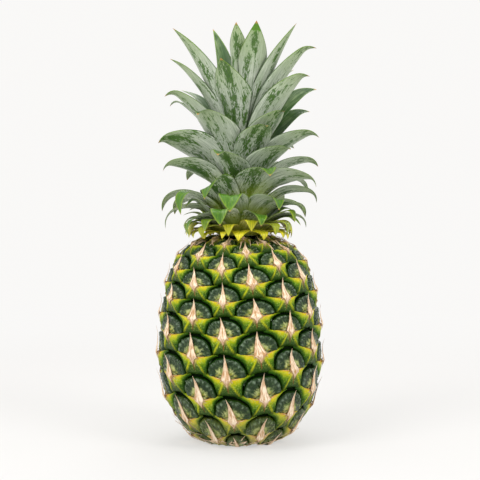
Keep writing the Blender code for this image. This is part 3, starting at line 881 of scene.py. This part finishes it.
def leaf_material():
    """Silvery and streaked outside, rubbed to dark green in places, and plain green inside. Low leaves and
    the leaves' feet are painted lighter against the shade there, and the margins darker, partly as painted
    shade.
    """
    shade = Shade("crown_leaf")
    across = shade.value("across")
    along = shade.value("along")
    edge = shade.value("edge")
    low = shade.value("low")
    u = shade.value("u")
    v = shade.value("v")
    offset = shade.value("chance") * 73.0
    streak = shade.noise(shade.vector(u * 1.9, v * 0.05, offset), 1.0, 5.0, 0.65)
    patch = shade.noise(shade.vector(u * 0.17, v * 0.045, offset), 1.0, 3.0, 0.5)
    fleck = shade.noise(shade.vector(u * 1.1, v * 0.28, offset), 1.0, 5.0, 0.7)
    cloud = shade.noise(shade.vector(u * 0.09, v * 0.05, offset + 9.0), 1.0, 2.0)
    silver = shade.mix(streak.step(0.3, 0.7), *SILVER)
    # The lowest leaves get a brighter silver: partly their own bloom, partly painted light against the
    # shade they sit in.
    silver = shade.mix(low * 0.6, silver, shade.mix(streak.step(0.36, 0.62), *LOW_SILVER_AND_LIGHT))
    silver = shade.mix(cloud.step(0.4, 0.7) * 0.5, silver, SILVER_CLOUD)
    silver = shade.mix(along.step(0.45, 1.0) * streak.step(0.3, 0.6, 0.35, 0.8), silver, SILVER_TIP)
    wear = patch * 0.66 + fleck * 0.8 + (shade.value("rub") - 0.5) * 0.16 - abs(across) * 0.1
    rubbed = shade.mix(fleck.step(0.3, 0.7), *RUBBED)
    outside = shade.mix(wear.step(0.725, 0.785) * 0.95, silver, rubbed)
    outside = shade.mix(streak.step(0.57, 0.66) * 0.68, outside, GREEN_STREAK)
    rib = abs(u + (cloud - 0.5) * 1.6).step(0.16, 0.44, 1.0, 0.0)
    outside = shade.mix(rib * fleck.step(0.4, 0.6, 0.05, 0.75), outside, GREEN_RIB)
    # Pale yellow-green at the feet of the lower leaves, brighter than their own colour as painted light
    # against the shade there.
    foot = along.step(0.46, 0.08) * low.step(0.05, 0.7)
    outside = shade.mix(foot * 0.8, outside, FOOT_OUTSIDE_AND_LIGHT)
    bright = shade.mix(streak.step(0.3, 0.68), *INSIDE_BRIGHT)
    bright = shade.mix(fleck.step(0.5, 0.66) * 0.55, bright, INSIDE_FLECK)
    lit = edge.step(1.6, 0.3) * streak.step(0.3, 0.6, 0.4, 1.0)
    bright = shade.mix(lit * 0.8, bright, INSIDE_EDGE)
    inside = shade.mix(low.step(0.0, 0.6), shade.mix(streak, *INSIDE_DEEP), bright)
    bloom = cloud.step(0.5, 0.66) * streak.step(0.4, 0.6)
    inside = shade.mix(bloom * 0.5, inside, INSIDE_BLOOM)
    # The same painted light at the feet, on the inner face.
    inside = shade.mix(foot * 0.8, inside, FOOT_INSIDE_AND_LIGHT)
    colour = shade.mix(shade.value("inner").step(0.3, 0.7), outside, inside)
    # Margins: the leaf's own thin rim, darkened on the upper leaves partly as painted shade between the
    # leaves.
    margin = shade.mix(low.step(0.1, 0.9), *MARGIN_AND_SHADE)
    margin = shade.mix(along.step(0.55, 0.92, 0.0, 0.75), margin, MARGIN_TIP)
    colour = shade.mix((edge + fleck * 0.5).step(1.2, 0.62) * 0.85, colour, margin)
    fresh_tip = shade.value("green_tip") * (along + fleck * 0.05).step(0.935, 0.95)
    colour = shade.mix(fresh_tip, colour, FRESH_TIP)
    colour = shade.mix(along.step(0.966, 0.99), colour, DRY_TIP)
    yellow = shade.value("yellow") * along.step(0.0, 0.6, 0.5, 1.0)
    colour = shade.mix(yellow, colour, shade.mix(streak.step(0.35, 0.65), *YELLOWED))
    shade.set(Base_Color=colour, Roughness=streak * 0.24 + 0.25, Specular_IOR_Level=0.42,
              Normal=shade.bump(streak * 0.7 + fleck * 0.25, 0.22 * MM, 0.8))
    return shade.material


def build_leaves():
    """The crown's separate leaves, each on its own piece."""
    material = leaf_material()
    for number, (bearing, reach, height, width, hook, start, end, rub, twist, sway) in enumerate(LEAVES, 1):
        tip = (reach * MM, height * MM)
        rank = rank_through(*tip)
        foot, rise, _ = leaf_family(rank)
        shape = POINTED if hook <= FREE_HOOK else ROUNDED
        sheets = Sheets()
        add_leaf(sheets, math.radians(bearing), foot, rise, tip, math.radians(hook), start, end, width * MM,
                 number, **shape, twist=math.radians(twist), sway=math.radians(sway), rub=rub, yellow=0.0,
                 green_tip=float(number == GREEN_TIPPED), low=1 - min(1.0, rank / LOW_RANKS))
        new_piece(f"leaf_{number:02d}", sheets, material, "leaf", f"crown_leaf_{number:02d}")


# The short leaves under the crown that are told apart: bearing, reach, tip's height, width,
# the rise they set out with, and how yellow they are. They all hook over alike.
COLLAR_LEAVES = [
    (12, 44, 161.5, 14, 46, 0.66), (-12, 43, 158, 12, 40, 0.72), (-62, 46, 179, 13, 62, 0.0),
    (-58, 44, 157, 13, 52, 0.1), (60, 47, 167, 13, 58, 0.1), (56, 43, 158, 14, 48, 0.25),
    (-35, 44, 161, 14, 50, 0.1), (-41, 41, 155.5, 12, 44, 0.4), (38, 42, 158, 13, 46, 0.35),
]
COLLAR_HOOK = (80, 0.72, 0.86)
# The rings of others: how many, the first one's bearing, the gap to the next, how far they
# stray in gaps, the ranges of reach, height, width, rise and yellow, and their hook.
COLLAR_RINGS = [
    (11, 78, 204 / 10, 0.20, (42, 50), (160, 176), (14, 19), (48, 60), (0, 0.2), (60, 0.5, 0.95)),
    (14, 66, 228 / 13, 0.20, (38, 44), (154, 159), (12, 16), (38, 46), (0.2, 0.8), (70, 0.5, 0.9)),
    (17, 108 / 17, 360 / 17, 0.28, (36, 42), (153, 156.5), (10, 15), (22, 32), (0.8, 1.0),
     (75, 0.78, 0.92)),
]
COLLAR_RADIUS = 16.2 * MM
COLLAR_HEIGHT = 157.6                 # in mm, of the feet of leaves that set out at 26 degrees


def build_collar():
    """The short curled leaves round the crown's foot, in rings from green down to dry yellow."""
    sheets = Sheets()
    source = np.random.default_rng(COLLAR_SEED)
    leaves = [(*leaf, COLLAR_HOOK) for leaf in COLLAR_LEAVES]
    for count, first, gap, stray, *ranges, hook in COLLAR_RINGS:
        for index in range(count):
            bearing = first + gap * (index + source.uniform(-stray, stray))
            leaves.append((bearing, *(source.uniform(*limits) for limits in ranges), hook))
    for number, (bearing, reach, height, width, rise, yellow, (hook, start, end)) in enumerate(leaves):
        foot = (COLLAR_RADIUS, (COLLAR_HEIGHT + 1.6 * (rise - 26) / 36) * MM)
        add_leaf(sheets, math.radians(bearing), foot, math.radians(rise), (reach * MM, height * MM),
                 math.radians(hook), start, end, width * MM, COLLAR_LEAF_SEED + number, **ROUNDED, rows=26,
                 channel=-0.05, foot_width=0.8, rub=0.4, low=1.0, green_tip=0.0, yellow=yellow)
    new_piece("collar", sheets, leaf_material(), "collar_leaf", "crown_collar")


STEM_FLESH = (0.2, 0.26, 0.05), (0.5, 0.52, 0.2)
LEDGE_RISE = 6 * MM
LEDGE_DEPTH = 0.5 * MM
LEDGE_STARTS = 3


def stem_material():
    """The pale flesh of the crown's stem, rough with scars."""
    shade = Shade("crown_stem")
    scars = shade.noise(shade.place(), 260.0, 4.0, 0.6)
    shade.set(Base_Color=shade.mix(scars, *STEM_FLESH), Roughness=0.6, Normal=shade.bump(scars, 0.8 * MM))
    return shade.material


def build_stem():
    """The tapering stem, ringed with the ledges that the leaves grow from."""
    sheets = Sheets()
    height = np.linspace(STEM_OUTLINE[0][1], STEM_OUTLINE[-1][1], 90)[:, None]
    bearing = all_round(60)
    ledge = (height / LEDGE_RISE + LEDGE_STARTS * bearing / math.tau) % 1.0
    radius = stem_radius(height) - 0.3 * MM + LEDGE_DEPTH * ledge
    sheets.add(round_axis(radius, bearing, height), closed=True)
    new_piece("stem", sheets, stem_material(), "stem_flesh", "crown_stem")


build_groove()
build_plates()
build_bracts()
build_spines()
build_stem()
build_collar()
build_leaves()

# ---------------------------------------- the studio

BACKDROP = (0.952, 0.943, 0.930)
BLACK = (0.0, 0.0, 0.0)
FLOOR_TONE = (0.312, 0.310, 0.307)
FLOOR_TONE_LIGHT = tuple(1.01 * part for part in FLOOR_TONE)
FLOOR_LEVEL = -0.0004
FLOOR_RADIUS = 12.0
FADE_STARTS = 0.30                    # how far from the fruit the floor goes over to the backdrop
FADE_ENDS = 0.75
FLOOR_GLOW = 0.55
HORIZON = 1.0                         # the world's brightness, level with the fruit and overhead
HORIZON_ENDS = 0.12
OVERHEAD = 0.60
OVERHEAD_STARTS = 0.5
LAMP_COLOUR = (1.0, 0.985, 0.965)
LAMPS_AIM = Vector((0, 0, 0.15))
CAMERA_AIM = Vector((0, 0, 0.1527))
CAMERA_ELEVATION = math.radians(3.5)
CAMERA_DISTANCE = 1.15
VIEW_WIDTH = 0.3643                   # of what the camera sees at the fruit's distance
SENSOR_WIDTH = 36.0


def build_floor():
    """A wide pale floor that glows partly of itself, which lightens the shadows on it, and goes over into
    the backdrop's own white away from the fruit.
    """
    sheets = Sheets()
    radius = np.concatenate([[0.001], np.geomspace(0.02, FLOOR_RADIUS, 40)])[:, None]
    sheets.add(round_axis(radius, all_round(72), FLOOR_LEVEL), closed=True, flip=True,
               far=smoothstep(FADE_STARTS, FADE_ENDS, radius))
    shade = Shade("paper_floor")
    far = shade.value("far")
    near = shade.mix(shade.noise(shade.place(), 3.0, 2.0), FLOOR_TONE, FLOOR_TONE_LIGHT)
    shade.set(Base_Color=shade.mix(far, near, BLACK), Roughness=0.9, Specular_IOR_Level=0.0)
    # Painted light: near the fruit the floor glows at FLOOR_GLOW of the backdrop's white, lightening its
    # shadows and lighting the fruit's underside.
    shade.set(Emission_Color=BACKDROP, Emission_Strength=far * (1.0 - FLOOR_GLOW) + FLOOR_GLOW)
    mesh = sheets.mesh("floor")
    mesh.materials.append(shade.material)
    floor = bpy.data.objects.new("floor", mesh)
    bpy.context.scene.collection.objects.link(floor)


def build_world():
    """White about the horizon and grey overhead, where the softboxes are."""
    world = bpy.data.worlds.new("studio")
    world.use_nodes = True
    nodes = world.node_tree.nodes
    links = world.node_tree.links
    place = nodes.new("ShaderNodeTexCoord").outputs["Generated"]
    split = nodes.new("ShaderNodeSeparateXYZ")
    links.new(place, split.inputs[0])
    rise = nodes.new("ShaderNodeMapRange")
    rise.interpolation_type = "SMOOTHSTEP"
    links.new(split.outputs["Z"], rise.inputs[0])
    limits = (HORIZON_ENDS, OVERHEAD_STARTS, HORIZON, OVERHEAD)
    for socket, value in zip(list(rise.inputs)[1:5], limits):
        socket.default_value = value
    nodes["Background"].inputs["Color"].default_value = (*BACKDROP, 1.0)
    links.new(rise.outputs[0], nodes["Background"].inputs["Strength"])
    bpy.context.scene.world = world


def add_softbox(name, bearing, elevation, distance, size, power):
    """A rectangular lamp that faces the middle of the pineapple."""
    light = bpy.data.lights.new(name, "AREA")
    light.shape = "RECTANGLE"
    light.size, light.size_y = size
    light.energy = power
    light.color = LAMP_COLOUR
    lamp = bpy.data.objects.new(name, light)
    bpy.context.scene.collection.objects.link(lamp)
    turn = math.radians(bearing)
    level = math.cos(math.radians(elevation))
    towards = Vector((level * math.sin(turn), -level * math.cos(turn), math.sin(math.radians(elevation))))
    lamp.location = LAMPS_AIM + distance * towards
    lamp.rotation_euler = towards.to_track_quat("Z", "Y").to_euler()


def build_camera():
    """Aimed at the middle of the pineapple from a little above it, through a long lens."""
    camera = bpy.data.cameras.new("camera")
    camera.sensor_width = SENSOR_WIDTH
    camera.lens = SENSOR_WIDTH * CAMERA_DISTANCE / VIEW_WIDTH
    camera.clip_end = 50.0
    thing = bpy.data.objects.new("camera", camera)
    bpy.context.scene.collection.objects.link(thing)
    towards = Vector((0, -math.cos(CAMERA_ELEVATION), math.sin(CAMERA_ELEVATION)))
    thing.location = CAMERA_AIM + CAMERA_DISTANCE * towards
    thing.rotation_euler = (math.pi / 2 - CAMERA_ELEVATION, 0, 0)
    bpy.context.scene.camera = thing


build_floor()
build_world()
add_softbox("key_light", bearing=-42, elevation=40, distance=1.3, size=(0.6, 0.7), power=9.0)
add_softbox("side_light", bearing=48, elevation=34, distance=1.4, size=(0.5, 0.7), power=7.0)
add_softbox("top_light", bearing=0, elevation=86, distance=1.2, size=(0.8, 0.8), power=5.0)
add_softbox("back_light", bearing=165, elevation=40, distance=1.6, size=(0.9, 0.7), power=7.0)
build_camera()
bpy.context.scene.view_settings.view_transform = "Standard"
